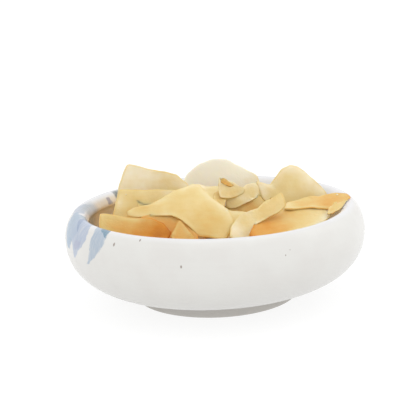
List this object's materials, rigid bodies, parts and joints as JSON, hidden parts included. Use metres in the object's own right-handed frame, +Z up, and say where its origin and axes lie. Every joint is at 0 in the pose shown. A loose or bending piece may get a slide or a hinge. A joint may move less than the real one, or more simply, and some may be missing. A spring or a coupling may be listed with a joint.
{
  "type": "bowl of dried potato slices",
  "caption": "Low round stoneware bowl with an inward-rolled rim and a narrow foot ring, heaped with thin, curled dried potato slices.",
  "frame": {"origin": "on the table surface, under the centre of the bowl's foot ring", "axes": "+Z up, along the bowl's axis; -Y is the side that the picture shows; the painted strokes are on the -X side"},
  "size_m": [0.18, 0.18, 0.08],
  "materials": {
    "glazed_stoneware": "glossy off-white glaze with pale blue-grey brush strokes on one side, bare warm-grey foot",
    "dried_potato": "thin translucent dried slices, cream to golden yellow, satin"
  },
  "bodies": {
    "root": {"bowl": "glazed_stoneware", "potato_slices": "dried_potato"}
  },
  "joints": []
}
